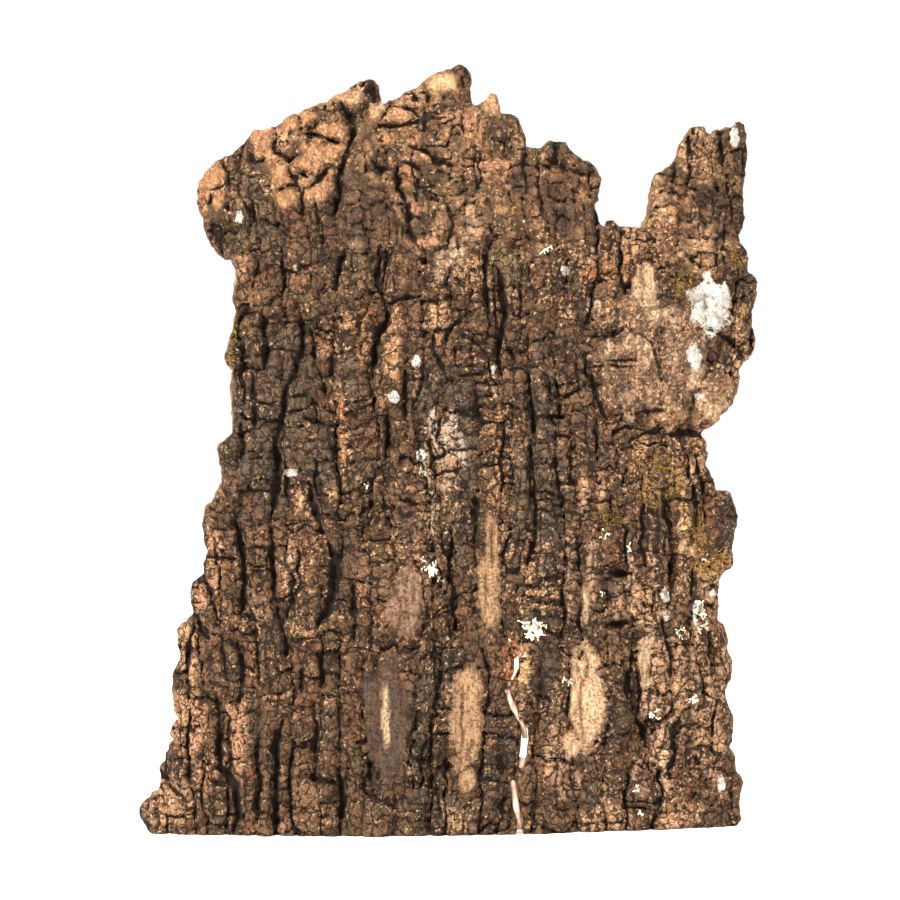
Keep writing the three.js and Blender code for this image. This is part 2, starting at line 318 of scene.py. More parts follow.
def blocks(across, up, wide, tall, layer):
    """Bark splits into ridges along the grain, and each ridge into blocks across it. For each point: the
    distance to the ridge's side and to the block's end, how far that end stays shut, the offset from the
    block's middle, and the block's own random numbers."""

    def numbers(i, j):
        return SCATTER[(i + 17 * layer) % 64, (j + 29 * layer) % 64]

    def side(i):
        return (i + 0.85 * (numbers(i, 0 * i)[:, 0] - 0.5)) * wide

    ridge = np.floor(across / wide).astype(np.int32)
    ridge = ridge - (across < side(ridge)) + (across > side(ridge + 1))
    left, right = side(ridge), side(ridge + 1)
    ridge_own = numbers(ridge, 0 * ridge + 5)
    pitch = tall * (0.75 + 0.6 * ridge_own[:, 1])
    level = up + 3 * pitch * ridge_own[:, 2] + (across - left) * 0.7 * (ridge_own[:, 3] - 0.5)

    def end(j):
        return (j + 0.7 * (numbers(ridge, j)[:, 0] - 0.5)) * pitch

    block = np.floor(level / pitch).astype(np.int32)
    block = block - (level < end(block)) + (level > end(block + 1))
    low, high = end(block), end(block + 1)
    beside = np.minimum(across - left, right - across)
    nearer_top = high - level < level - low
    closed = numbers(ridge, block + nearer_top)[:, 1]
    ends = np.minimum(level - low, high - level)
    own = numbers(ridge, block)
    return beside, ends, closed, across - (left + right) / 2, level - (low + high) / 2, own


def rounded(one, other, radius):
    """The smaller of two distances, with its corners rounded."""
    inner = radius - np.hypot(np.maximum(radius - one, 0), np.maximum(radius - other, 0))
    return np.where((one < radius) & (other < radius), inner, np.minimum(one, other))


def spots(across, up, ellipses, wobble, soft=0.25):
    """1 inside any of the ellipses, 0 outside, with a ragged, soft edge."""
    inside = np.zeros(len(across), np.float32)
    for x, z, half_wide, half_tall in ellipses:
        off = np.hypot((across - x) / half_wide, (up - z) / half_tall) + wobble
        inside = np.maximum(inside, 1 - smooth(off, 1 - soft, 1 + soft))
    return inside


def linear(code):
    """An sRGB hex colour as linear red, green and blue."""
    parts = np.array([int(code[i:i + 2], 16) / 255 for i in (1, 3, 5)])
    return np.where(parts < 0.04045, parts / 12.92, ((parts + 0.055) / 1.055) ** 2.4)


def bark_relief(across, up):
    """Everything about the outer face at each point: how far it is sunk, and what shows there."""
    flat = np.stack([across, up, np.zeros_like(across)], axis=1)
    bend_x = 6 * rough(flat, (26, 34, 9), 1) + 1.7 * broken(flat, (6, 9, 9), 4, 2)
    bend_z = 3 * rough(flat, (17, 12, 9), 3) + 1.5 * broken(flat, (5, 5, 9), 4, 4)
    x, z = across + bend_x, up + bend_z
    wobble = 0.22 * rough(flat, (4, 6, 9), 5) + 0.12 * rough(flat, (1.6, 2.2, 9), 6)

    worn = spots(across, up, [ellipse for _, ellipses in WORN for ellipse in ellipses], 1.5 * wobble, 0.12)
    burl = spots(across, up, BURL, wobble)
    crumbly = spots(across, up, CRUMBLY, 2 * wobble, 0.3)
    nests = spots(across, up, NESTS, wobble, 0.2)
    chunky = spots(across, up, CHUNKS, wobble, 0.3) * (1 - nests)
    crumbly = np.maximum(crumbly, nests)
    lump = broken(flat, (4, 4.4, 9), 3, 44)
    calm = np.maximum(np.maximum(worn, 0.65 * burl), np.maximum(chunky, 0.9 * crumbly))

    gap = 0.1 + 1.1 * rough(flat, (7, 14, 9), 10)
    broad = rough(flat, (24, 36, 9), 17) + 0.25 * rough(flat, (6, 6, 9), 18) > 0.05
    both = zip(blocks(x, z, 11.4, 8.2, 1), blocks(x, z, 8.3, 6.6, 4))
    picked = [np.where(broad[:, None] if large.ndim > 1 else broad, large, fine) for large, fine in both]
    beside, ends, closed, px, pz, own = picked
    joint = rounded(beside - 0.8 * gap, ends - 0.9 * (closed - 0.35), 1.2)
    beside, ends, closed, _, _, tiny = blocks(x + 0.7 * rough(flat, (2.4, 4, 9), 7), z, 5.0, 3.8, 2)
    small = rounded(beside - 0.3 * gap, ends - 0.5 * (closed - 0.45), 0.6)
    crumb = rounded(beside - 0.5 * gap, ends - 0.7 * (closed - 0.35), 0.8)

    furrow = np.full(len(across), FAR, np.float32)
    sunk = np.zeros(len(across), np.float32)
    wa = across + 0.8 * broken(flat, (4, 4.5, 9), 3, 8)
    wu = up + 0.6 * broken(flat, (4.5, 4, 9), 2, 9)
    ragged = 0.5 * broken(flat, (2, 2.8, 9), 2, 16) + 0.5 * rough(flat, (5, 9, 9), 22)
    for width, depth, *line in FURROWS + CROSS_CRACKS:
        lip = groove(wa, wu, line, width) + min(width, 2) / 2 * ragged + 0.35 * chunky
        lip += 0.45 * (depth <= 1) + 0.2 * (depth <= 1.5) + 0.35 * (depth >= 4) * (1 - chunky)
        sunk = np.maximum(sunk, depth * (1 - smooth(lip, -width / 2, min(0.7 * width, 1.4))))
        furrow = np.minimum(furrow, lip)

    open_joint = joint + 2.2 * calm
    open_joint = np.minimum(open_joint, crumb + 3 * (1 - crumbly) + 2 * chunky)
    sunk = np.maximum(sunk, 2.2 * (1 - smooth(open_joint, -0.6, 0.45)))
    small_depth = (0.2 + 0.6 * own[:, 2]) * (1 - 0.8 * calm)
    sunk_small = small_depth * (1 - smooth(small, -0.15, 0.6))
    hollow = spots(across, up, HOLLOWS, wobble, 0.35)

    level = 2.2 * (own[:, 3] - 0.5) + 0.22 * px * (own[:, 4] - 0.5) + 0.3 * pz * (own[:, 5] - 0.5)
    level -= 0.05 * px**2 + 0.5 * (1 - smooth(joint, 0, 2)) + 1.2 * (1 - smooth(furrow, 0, 4))
    chip = broken(flat, (3.2, 5, 9), 4, 12) + 0.35 * (tiny[:, 6] - 0.5)
    flaked = smooth(chip, 0.22, 0.3) * (1 - calm)
    level += 0.5 * (tiny[:, 3] - 0.5) - 0.5 * flaked
    level *= 1 - 0.75 * calm
    fibre = 0.3 * broken(flat, (1.5, 9, 9), 3, 13) * (1 + worn)
    fibre += 0.75 * broken(flat, (3.4, 4.4, 9), 4, 14) * (1 - 0.6 * calm)
    swell = 1.6 * broken(flat, (14, 40, 9), 2, 15)
    height = level + fibre + swell * (1 - calm) - sunk - sunk_small - 3 * hollow - 0.9 * worn + 2.6 * burl
    height += 0.4 * burl * np.sin(1.3 * np.hypot(across - 196, (up - 176) * 1.2) + 3 * bend_x)
    height += (0.9 * burl + 0.9 * chunky) * broken(flat, (2, 2.6, 9), 3, 19)
    height += crumbly * (1 - 0.7 * chunky) * (1.2 * np.maximum(lump, -0.4) + 2 * (tiny[:, 3] - 0.5))
    line = np.full(len(across), FAR, np.float32)
    wavy = across + 0.5 * rough(flat, (3, 4, 9), 20)
    for width, *course in GRAIN_LINES:
        line = np.minimum(line, groove(wavy, up, course, width))
    height -= 0.5 * (1 - smooth(line, 0, 0.8))
    return {
        "height": height,
        "joint": np.minimum(open_joint, furrow),
        "small": small,
        "chip": chip,
        "worn": worn,
        "burl": burl,
        "own": own,
        "tiny": tiny,
        "flat": flat,
        "wobble": wobble,
        "line": line,
        "crumbly": crumbly,
        "chunky": chunky,
        "lump": lump,
    }


def copy_of_node(node, name):
    """A welded copy of a CAD node's mesh."""
    shape = bmesh.new()
    shape.from_mesh(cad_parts[node].data)
    bmesh.ops.remove_doubles(shape, verts=shape.verts, dist=1e-6)
    mesh = bpy.data.meshes.new(name)
    shape.to_mesh(mesh)
    shape.free()
    return mesh


def placed(name, data):
    """A new object in the scene."""
    piece = bpy.data.objects.new(name, data)
    bpy.context.scene.collection.objects.link(piece)
    return piece


def with_modifier(piece, kind, **settings):
    """The piece with one modifier applied to its mesh."""
    modifier = piece.modifiers.new(kind, kind)
    for key, value in settings.items():
        setattr(modifier, key, value)
    graph = bpy.context.evaluated_depsgraph_get()
    mesh = bpy.data.meshes.new_from_object(piece.evaluated_get(graph))
    piece.modifiers.clear()
    old, piece.data = piece.data, mesh
    bpy.data.meshes.remove(old)
    mesh.name = piece.name
    return piece


def shade_smooth(mesh):
    """Rounds the shading over every face."""
    mesh.polygons.foreach_set("use_smooth", [True] * len(mesh.polygons))


def corners(mesh):
    """The mesh's vertices in mm from the bark's left edge, its foot and its front."""
    flat = np.empty(3 * len(mesh.vertices), np.float32)
    mesh.vertices.foreach_get("co", flat)
    return (flat.reshape(-1, 3) - np.array(BARK_LOW, np.float32)) / MM


def put_corners(mesh, points):
    """Moves the mesh's vertices to places given in the same way."""
    flat = points * MM + np.array(BARK_LOW, np.float32)
    mesh.vertices.foreach_set("co", flat.astype(np.float32).ravel())
    mesh.update()


bark_solid = copy_of_node("bark", "bark_solid")
solid = bmesh.new()
solid.from_mesh(bark_solid)
whole = BVHTree.FromBMesh(solid)
walls = bmesh.new()
walls.from_mesh(bark_solid)
sawn = BARK_LOW[2] + 0.5 * MM
not_walls = [f for f in walls.faces if abs(f.normal.y) > 0.35 or f.calc_center_median().z < sawn]
bmesh.ops.delete(walls, geom=not_walls, context="FACES")
broken_walls = BVHTree.FromBMesh(walls)

# The slab's two faces, felt from both sides on a grid.
STEP = 2.0  # mm
columns = int((BARK_HIGH[0] - BARK_LOW[0]) / MM / STEP) + 2
rows = int((BARK_HIGH[2] - BARK_LOW[2]) / MM / STEP) + 2
outer_y = np.full((columns, rows), np.nan)
inner_y = np.full((columns, rows), np.nan)
for i in range(columns):
    for j in range(rows):
        x, z = BARK_LOW[0] + i * STEP * MM, BARK_LOW[2] + max(j * STEP, 0.05) * MM
        hit = whole.ray_cast(Vector((x, -1, z)), Vector((0, 1, 0)))[0]
        if hit:
            outer_y[i, j] = (hit.y - BARK_LOW[1]) / MM
            inner_y[i, j] = (whole.ray_cast(Vector((x, 1, z)), Vector((0, -1, 0)))[0].y - BARK_LOW[1]) / MM
# The inner face is the same all the way up, so its empty columns are filled along the curve.
inner_line = np.nanmedian(inner_y, axis=1)
known = ~np.isnan(inner_line)
inner_line = np.interp(np.arange(columns), np.arange(columns)[known], inner_line[known])
deep = inner_line[:, None] - outer_y
for _ in range(8):
    gaps = np.isnan(deep)
    padded = np.pad(deep, 1, constant_values=np.nan)
    around = np.stack([padded[:-2, 1:-1], padded[2:, 1:-1], padded[1:-1, :-2], padded[1:-1, 2:]])
    count = (~np.isnan(around)).sum(axis=0)
    mean = np.nansum(around, axis=0) / np.maximum(count, 1)
    deep = np.where(gaps & (count > 0), mean, deep)
deep = np.where(np.isnan(deep), THICKNESS, deep)


def felt(points):
    """The inner face's place at each point, and the solid's depth there."""
    a = np.clip(points[:, 0] / STEP, 0, columns - 1.001)
    b = np.clip(points[:, 2] / STEP, 0, rows - 1.001)
    i, j = a.astype(int), b.astype(int)
    s, t = a - i, b - j
    inner = inner_line[i] * (1 - s) + inner_line[i + 1] * s
    low = deep[i, j] * (1 - s) + deep[i + 1, j] * s
    high = deep[i, j + 1] * (1 - s) + deep[i + 1, j + 1] * s
    return inner, low * (1 - t) + high * t


def rim(points):
    """Each point's distance in mm from the nearest broken wall, and the way out of it."""
    away = np.full(len(points), 30.0, np.float32)
    out = np.zeros((len(points), 3), np.float32)
    flat = points * MM + np.array(BARK_LOW, np.float32)
    for index, co in enumerate(flat):
        spot, normal, _, distance = broken_walls.find_nearest(Vector(co), 12 * MM)
        if spot:
            away[index] = distance / MM
            out[index] = normal
    return away, out


def rim_rounding(away, up):
    """How far the outer face drops over its last 4 mm before the broken rim. The sawn foot stays sharp."""
    return 1.6 * (1 - smooth(away, 0, 4)) ** 2 * (up > 6)


def near_split(across, up):
    """Whether a point is in the upright strip that the split winds through."""
    return (across > 143) & (across < 159) & (up < 84)


bark = placed("bark_slab", bark_solid)
with_modifier(bark, "REMESH", mode="VOXEL", voxel_size=VOXEL, adaptivity=0)
points = corners(bark.data)
inner, depth = felt(points)
share = np.clip((inner - points[:, 1]) / depth, 0, 1)  # 0 on the inner face and 1 on the outer
away, out = rim(points)
edge = np.clip(1 - away / 7, 0, 1)

# The broken rim is chipped, and its outer plates stop short of the layers under them.
chips = broken(points, (7, 5, 9), 4, 21) + 0.6 * broken(points, (2.6, 3, 3), 2, 29)
short = 1.3 * smooth(rough(points * (1, 0, 1), (9, 9, 12), 25), -0.1, 0.6) * smooth(share, 0.45, 0.6)
layers = 0.5 * rough(points * (0.15, 1, 0.1), (3, 1.6, 3), 27)
by_split = near_split(points[:, 0], points[:, 2])
shift = np.where(by_split, 0.2 * chips - 0.2, 0.8 * chips + layers - short) * smooth(edge, 0, 1)
across = points[:, 0] + out[:, 0] * shift
up = points[:, 2] + out[:, 2] * shift
up = np.where(points[:, 2] < 1.5, points[:, 2], np.maximum(up, 0.3))
relief = bark_relief(across, up)
rounding = rim_rounding(away, points[:, 2])
thick = THICKNESS + relief["height"] - rounding
grain = np.stack([across, up, share], axis=1)
inner_relief = 0.25 * broken(grain, (2.2, 26, 9), 3, 31) + 0.5 * rough(grain, (20, 60, 9), 35)
inner_relief *= share < 0.02
points[:, 0] = across
points[:, 1] = inner + inner_relief - share * thick
points[:, 2] = up
put_corners(bark.data, points)
faces_now = sum(len(p.vertices) - 2 for p in bark.data.polygons)
with_modifier(bark, "DECIMATE", decimate_type="COLLAPSE", ratio=BARK_FACES / faces_now)

# What colours it: the corky plates, the softer layers under them, and what has grown or dried on top.
PLATE_TONES = ["#4d3825", "#573f29", "#402f1c", "#614731", "#4b3b24", "#603e27", "#423120", "#6a4d35"]
JOINT_DARK = "#26170c"
# Patches of another colour: (colour, strength, [patches]).
TINTS = [
    ("#84603f", 0.85, [(24, 45, 5, 11)]),
    ("#d9ac77", 0.8, [(37.6, 164.4, 1.8, 4)]),
    ("#553c2a", 0.7, [(62.6, 278, 4.2, 4.2), (206, 141, 12, 8), (222, 134, 8, 8), (186, 128, 8, 8)]),
    ("#976a47", 0.85, [(34, 263, 5.4, 6), (30, 256, 2.6, 7), (36, 253, 2.4, 4.6), (57, 277, 7, 4),
                       (54, 272, 3, 5), (59, 268, 3.6, 4), (62, 261, 4.4, 5), (65, 282.4, 6, 2.4),
                       (64, 253, 4.6, 3.4), (72, 284.6, 4, 2.4), (82, 279, 5.5, 2.6), (78, 271, 7.6, 4.4),
                       (72, 266, 5.6, 3.6), (75, 254, 4.4, 3.4), (80, 259, 2.8, 5), (72, 259, 3, 1.6),
                       (84, 292, 6, 2), (89, 290, 2.6, 4), (112, 261, 3, 5), (113, 273, 2.2, 3),
                       (104, 275, 5, 2), (109, 284, 5.6, 2.6), (111, 292, 6, 1.8), (135.5, 277, 2.6, 2.2),
                       (141, 237, 1.6, 4.4)]),
    ("#a9795a", 0.6, [(20, 44, 6, 12), (40, 40, 4.5, 14), (28, 25, 4, 8), (26, 95, 3, 6), (22, 79, 3, 7),
                      (31, 104, 3, 6), (32, 117, 2.5, 4), (130, 283, 6, 2), (137, 284, 3, 5),
                      (145, 263, 10, 3), (92, 296, 5, 3), (113, 247, 3, 3), (125, 244, 3, 5),
                      (118, 234, 6, 2.4), (114, 268, 4, 2)]),
    ("#b08a69", 0.75, [(206.5, 70, 6.4, 9), (203.6, 54, 3, 10), (209, 52, 4, 6), (208.5, 33, 4, 9),
                       (210, 20, 3, 8), (205, 84, 3.6, 6), (197.6, 98, 2.4, 12), (219, 118, 3, 10),
                       (222, 104, 2, 10)]),
    ("#a17c5e", 0.6, [(216, 62, 2.4, 26), (223, 60, 1.8, 24), (229, 44, 2.2, 30), (235, 60, 2.4, 12),
                      (212, 112, 2.4, 12), (172, 102, 2.4, 16), (182, 104, 2.4, 16), (192, 92, 2, 12),
                      (166, 30, 4, 12), (172, 20, 4, 8), (186, 140, 2, 14), (179, 132, 2, 10),
                      (200, 20, 3, 8), (153, 44, 2, 10), (206, 108, 2, 10)]),
    ("#443a2e", 0.65, [(131, 150, 5, 40), (163, 140, 8, 50), (52, 155, 14, 28), (152, 112, 3, 14),
                       (86, 180, 4, 14), (118, 178, 5, 8), (27, 118, 3, 8), (114, 34, 5, 32),
                       (122, 62, 4, 12), (147, 34, 5, 8), (186, 14, 10, 8), (40, 172, 12, 24),
                       (62, 180, 10, 20), (122, 8, 12, 8), (166, 60, 4, 14), (140, 8, 6, 8),
                       (75, 148, 8, 12)]),
    ("#5a4933", 0.6, [(49, 250, 9, 19), (90, 226, 5, 8), (150, 224, 7, 9), (132, 250, 12, 10),
                      (153, 140, 5, 18)]),
    # Near-black: dark patches of cork, and painted shade in the hollows where plates are missing.
    ("#2f2822", 0.6, [(185, 149.5, 4, 8), (207, 121.4, 5, 7), (237, 123.6, 4, 12), (168, 108, 4, 9),
                      (184, 105, 2.4, 8), (179, 160, 2.6, 8), (81, 287, 5.4, 3), (123, 289, 7, 3.4),
                      (120, 242.5, 5, 5.4), (148, 275, 6, 4), (246, 213, 5, 10), (232, 245, 8, 10),
                      (224, 238, 5, 8), (80, 103, 4, 14), (143, 26, 4, 6), (94, 19, 5, 8)]),
    ("#82502f", 0.7, [(83.6, 160, 2, 18), (146, 148, 2.4, 20), (150, 68, 5, 8), (197, 224, 4, 6),
                      (186, 222, 6, 5), (97, 205, 5, 3)]),
    ("#b98a5c", 0.65, [(201.8, 152.8, 3.2, 3.4), (218.5, 126.5, 2.6, 7), (222, 146, 2.4, 4),
                       (226, 140, 2, 4)]),
    ("#a87a52", 0.55, [(104, 194, 3, 14), (93, 194, 2.4, 6), (79, 192, 5, 2.4), (88, 203, 5, 3),
                       (47, 214, 2, 5), (45, 227, 2, 5), (157, 69, 2, 6), (216, 250, 3, 8),
                       (100, 172, 2, 4)]),
    ("#bd9268", 0.7, [(100.6, 286, 3.6, 4), (126, 296.6, 6, 4), (138, 224, 3.5, 4.5),
                      (145.5, 288.4, 3.4, 4), (211, 252, 3, 9), (222, 270, 3, 5), (229, 278, 4, 2.5),
                      (211, 2.5, 2.5, 2), (80, 135, 2, 2), (22, 79, 2, 5), (154, 67, 2.5, 8),
                      (234, 167, 6, 7), (203, 93, 4, 7), (67, 134, 2, 4)]),
    ("#a58a6c", 0.5, [(122, 146, 8, 12), (118, 125, 4, 10), (62, 107, 2.5, 10), (136, 240, 4, 8),
                      (128, 226, 6, 8)]),
    ("#6f5642", 0.8, [(207, 182, 22, 17), (233, 171, 8, 9), (221, 195, 11, 11), (200, 206, 12, 6)]),
    # Dark brown on the callus: mottling of its own, and painted shade in its creases and hollows.
    ("#4a382b", 0.7, [(209, 194, 3, 4.5), (187, 170, 2.6, 6), (218, 170, 1.8, 5), (212, 178, 1.2, 2.4),
                      (223, 166, 3.4, 2), (233, 188, 4.6, 8), (192, 205.5, 5, 2), (213, 217, 3, 8),
                      (192, 176, 4, 4)]),
    ("#b59575", 0.7, [(205, 188, 3, 6), (189.6, 191, 1.2, 5), (197, 163.4, 3.6, 2), (225, 180, 5, 6),
                      (232, 168, 6, 7), (217, 203, 3, 4), (200, 193, 6, 3), (215.4, 186, 2, 4),
                      (213, 173, 2.4, 2), (197, 171, 3, 3), (211, 204, 5, 3), (240.5, 188, 1.4, 4),
                      (184, 208, 3, 4)]),
    ("#b59c86", 0.65, [(120, 160, 2, 11), (127.4, 162, 2, 7), (124, 156, 1, 8), (131, 152, 1.6, 6)]),
]
# Ground that has weathered pale, and ground where the dark cork is whole.
PALE = [
    (20, 74, 5, 12), (17, 52, 5, 6), (12, 12, 11, 9), (31, 30, 5, 6), (127, 6, 5, 6), (186, 5, 14, 5),
    (215, 6, 12, 5), (212, 50, 6, 12), (238, 72, 4, 11), (230, 97, 5, 8), (229, 155, 6, 10),
    (242, 184, 5, 14), (241, 206, 5, 6), (227, 228, 7, 8), (202, 236, 7, 10), (163, 280, 7, 6),
    (149, 289, 6, 5), (228, 279, 7, 5), (112, 291, 6, 4), (90, 292, 5, 4), (123, 203, 5, 8),
    (204, 86, 6, 7), (213, 163, 6, 5), (228, 33, 6, 9), (236, 147, 4, 6), (222, 140, 5, 5),
]
DARK = [
    (88, 250, 9, 14), (99, 243, 7, 9), (171, 248, 8, 13), (157, 258, 6, 9), (163, 68, 6, 10),
    (188, 40, 5, 12), (134, 72, 5, 13), (188, 98, 5, 7), (58, 86, 6, 7), (62, 241, 12, 6),
    (72, 182, 6, 10), (136, 176, 4, 6), (48, 46, 4, 8), (110, 124, 5, 10), (214, 255, 4, 6),
    (84, 108, 5, 10), (162, 84, 5, 6), (176, 32, 5, 8),
]
# Where more flecks of the tan layer show through.
FRESH = [
    (34, 262, 9, 9), (56, 274, 9, 7), (66, 262, 9, 9), (79, 266, 11, 17), (20, 44, 8, 16),
    (40, 40, 5, 15), (28, 25, 6, 9), (26, 95, 4, 8), (32, 110, 5, 14), (62, 104, 5, 14), (72, 106, 4, 16),
    (67, 134, 4, 8), (45, 86, 14, 5), (66, 84, 8, 7), (101, 292, 8, 8), (109, 284, 9, 4),
    (205, 90, 8, 12), (209, 60, 9, 16), (207, 28, 7, 16), (228, 60, 8, 40), (218, 104, 14, 12),
    (205, 140, 16, 10), (218, 150, 12, 8), (212, 232, 7, 18), (146, 130, 5, 40), (84, 155, 4, 24),
    (152, 66, 6, 10), (112, 118, 12, 14), (122, 142, 9, 12), (238, 96, 7, 22), (160, 100, 8, 22),
    (104, 194, 4, 16), (93, 194, 3, 7), (79, 192, 6, 3), (88, 203, 6, 4), (146, 148, 5, 22),
    (84, 158, 4, 20), (190, 225, 12, 10), (208, 182, 22, 18), (234, 172, 9, 12), (222, 200, 12, 10),
    (198, 205, 14, 8), (135, 222, 6, 8), (197, 252, 10, 6), (170, 45, 6, 30), (186, 40, 6, 30),
    (228, 270, 7, 10),
]
# White crust, in patches and in specks.
CRUST = [
    (231.5, 208, 9, 13), (226.5, 206, 4, 7), (224.5, 187, 3.5, 6), (226, 172, 2, 1.6), (242.5, 275, 2, 4),
]
CRUST_SPECKS = [
    (211.5, 93, 2.6, 3.2), (211.5, 85, 1.8, 3), (223, 86, 1.4, 6), (230.5, 93, 1.6, 2.2),
    (232.5, 17, 1.8, 5), (63.5, 144, 3.6, 2), (104.5, 173, 3, 3), (114, 187, 2, 3),
    (144, 183.5, 1.2, 2.2), (115, 150, 2, 2.4), (115, 143, 1.4, 2), (94, 139, 0.9, 1.4), (129, 163, 1, 4),
    (44, 246, 2, 3), (173, 222, 2, 3),
]
# Moss dust.
MOSSY = [
    (206, 141, 7, 6), (216, 136, 3, 3), (190, 125, 6, 6), (230, 104, 6, 3), (218, 215, 2.4, 4),
    (223, 217, 2, 5), (245, 204.5, 3, 2), (242, 227, 2, 4), (40, 194, 4.5, 7),
]


def chosen(codes, number):
    """One of a few colours for each point, by its number from 0 to 1."""
    table = np.array([linear(code) for code in codes])
    return table[np.minimum((number * len(codes)).astype(int), len(codes) - 1)]


def mixed(first, second, share):
    """Two lots of colours mixed point by point."""
    return first + (second - first) * share[:, None]


points = corners(bark.data)
across, up = points[:, 0], points[:, 2]
relief = bark_relief(across, up)
inner, _ = felt(points)
away, _ = rim(points)
rounding = rim_rounding(away, up)
share = (inner - points[:, 1]) / (THICKNESS + relief["height"] - rounding)
own, tiny, wobble = relief["own"], relief["tiny"], relief["wobble"]
tone = chosen(PLATE_TONES, own[:, 6])
tone = mixed(tone, chosen(PLATE_TONES, tiny[:, 5]), np.full(len(tone), 0.35))
tone *= (0.8 + 0.3 * own[:, 7])[:, None]
blotch = 1 + 0.5 * broken(relief["flat"], (2.2, 2.6, 9), 3, 41)
for code, strength, ellipses in TINTS:
    shade = linear(code) * (blotch * (0.8 + 0.4 * tiny[:, 4]))[:, None]
    tone = mixed(tone, shade, strength * spots(across, up, ellipses, 1.5 * wobble, 0.2))
pale = spots(across, up, PALE, 1.5 * wobble, 0.3)
dark = spots(across, up, DARK, 1.5 * wobble, 0.3)
tone = mixed(tone, linear("#a5805c") * blotch[:, None], 0.6 * pale)
tone = mixed(tone, linear("#3b2e22") * blotch[:, None], 0.6 * dark)
nubs = relief["crumbly"] * smooth(relief["lump"], 0.05, 0.4) * (1 - dark)
tone = mixed(tone, linear("#b08259") * blotch[:, None], 0.35 * nubs)
for code, ellipses in WORN:
    shade = linear(code) * (0.85 + 0.3 * tiny[:, 2])[:, None]
    tone = mixed(tone, shade, spots(across, up, ellipses, 1.5 * wobble, 0.2))
fresh = np.maximum(spots(across, up, FRESH, 1.5 * wobble, 0.5), 0.12 + 0.35 * (own[:, 2] > 0.78))
fresh = np.maximum(fresh, pale) - 0.7 * dark
tone = mixed(tone, linear("#5f3a25"), 0.8 * (1 - smooth(relief["line"], -0.2, 0.5)))
crust = spots(across, up, CRUST, 1.4 * wobble, 0.35)
crust = np.maximum(crust, 0.88 * spots(across, up, CRUST_SPECKS, 1.4 * wobble, 0.35))
moss = spots(across, up, MOSSY, 1.3 * wobble, 0.4)
inside = 1 - smooth(share, 0.06, 0.1)
split = smooth(-away, -2.6, -1.4) * (1 - smooth(share, 0.84, 0.92)) * near_split(across, up)
wall = smooth(1 - share, 0.12, 0.28) * (1 - inside) * smooth(-away, -2.8, -1.2)

calmer = [relief["worn"], 0.4 * relief["burl"], 0.8 * relief["chunky"], 0.5 * relief["crumbly"]]
painted = {
    "joint": np.clip(relief["joint"], -3, 3),
    "small": np.clip(relief["small"], -1, 2),
    "chip": relief["chip"],
    "fresh": fresh,
    "worn": relief["worn"],
    "crust": crust,
    "moss": moss,
    "split": split,
    "plated": 1 - np.maximum.reduce(calmer),
    "inside": inside,
    "wall": wall,
    "layer": np.clip(share, 0, 1),
}
for name, values in painted.items():
    bark.data.attributes.new(name, "FLOAT", "POINT").data.foreach_set("value", values.astype(np.float32))
colours = np.concatenate([tone, np.ones((len(tone), 1))], axis=1).astype(np.float32)
bark.data.attributes.new("tone", "FLOAT_COLOR", "POINT").data.foreach_set("color", colours.ravel())
shade_smooth(bark.data)


def colour(code):
    """An sRGB hex colour as a socket wants it."""
    return (*linear(code), 1.0)


def new_material(name):
    """A material, its node tree and its shader."""
    material = bpy.data.materials.new(name)
    material.use_nodes = True
    return material, material.node_tree, material.node_tree.nodes["Principled BSDF"]


def add(tree, kind, links=(), values=(), stops=(), **settings):
    """A node with its settings, its sockets' own values, and its links: (input, what feeds it). A node
    feeds another from its first output, unless one of its outputs is given. The stops are a colour ramp's:
    (position, colour) at its two ends, and then between them."""
    made = tree.nodes.new("ShaderNode" + kind)
    for key, value in settings.items():
        setattr(made, key, value)
    for number, (position, code) in enumerate(stops):
        elements = made.color_ramp.elements
        stop = elements[number] if number < 2 else elements.new(position)
        stop.position = position
        stop.color = colour(code)
    for socket, value in values:
        made.inputs[socket].default_value = value
    for socket, source in links:
        output = source.outputs[0] if isinstance(source, bpy.types.Node) else source
        tree.links.new(output, made.inputs[socket])
    return made


# Old bark: matt, dry and corky. The plates are dull and grainy with fine cracks down the grain, while the
# worn spots and the inner face are smoother and fibrous. Nothing on it shines.
bark_material, tree, shader = new_material("weathered bark")
place = add(tree, "TexCoord").outputs["Object"]
in_mm = add(tree, "Mapping", [("Vector", place)], [("Scale", (1000, 1000, 1000))])
grain_mm = add(tree, "Mapping", [("Vector", place)], [("Scale", (1000, 1000, 130))])
seen = {"tone": add(tree, "Attribute", attribute_name="tone").outputs["Color"]}
for name in painted:
    seen[name] = add(tree, "Attribute", attribute_name=name).outputs["Fac"]
grit = add(tree, "TexNoise", [("Vector", in_mm)], [("Scale", 0.9), ("Detail", 5.0), ("Roughness", 0.72)])
mottle = add(tree, "TexNoise", [("Vector", in_mm)],
             [("Scale", 0.3), ("Detail", 5.0), ("Roughness", 0.62)])
fibre = add(tree, "TexNoise", [("Vector", grain_mm)],
            [("Scale", 0.9), ("Detail", 4.0), ("Roughness", 0.65)])
# Fine cracks: a jagged net of 4 mm blocks.
jag = add(tree, "TexNoise", [("Vector", in_mm)], [("Scale", 0.45), ("Detail", 4.0), ("Roughness", 0.7)])
jagged = add(tree, "VectorMath", [(0, jag.outputs["Color"]), (2, in_mm)], [(1, (3.4, 3.4, 2.6))],
             operation="MULTIPLY_ADD")
net = add(tree, "TexVoronoi", [("Vector", jagged)], [("Scale", 0.24), ("Randomness", 0.9)],
          feature="DISTANCE_TO_EDGE")

# Scales a millimetre or so across, each with a shade of its own.
frayed = add(tree, "VectorMath", [(0, jag.outputs["Color"]), (2, in_mm)], [(1, (1.6, 1.6, 1.6))],
             operation="MULTIPLY_ADD")
scales = add(tree, "TexVoronoi", [("Vector", frayed)], [("Scale", 0.85)])
scale_own = add(tree, "SeparateColor", [(0, scales.outputs["Color"])])

